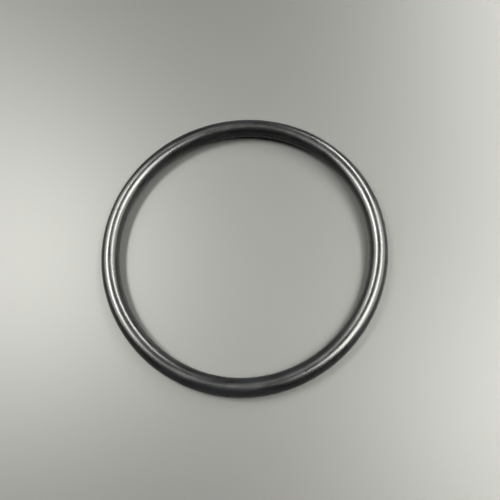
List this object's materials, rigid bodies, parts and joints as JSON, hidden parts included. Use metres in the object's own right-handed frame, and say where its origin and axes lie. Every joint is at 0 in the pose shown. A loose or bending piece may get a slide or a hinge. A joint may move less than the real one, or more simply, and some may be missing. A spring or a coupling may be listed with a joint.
{
  "type": "rubber o-ring",
  "caption": "Black rubber sealing ring with a round cross-section, squeezed in a groove to seal a joint.",
  "frame": {"origin": "centre of the ring, on the mid-plane that holds the mould's parting line", "axes": "+Z along the ring's axis of symmetry; the ring lies flat in XY"},
  "size_m": [0.0802, 0.0802, 0.005],
  "materials": {
    "rubber": "satin black moulded rubber, with a fine parting line at the inside and outside diameters"
  },
  "bodies": {
    "root": {"o_ring": "rubber"}
  },
  "joints": []
}
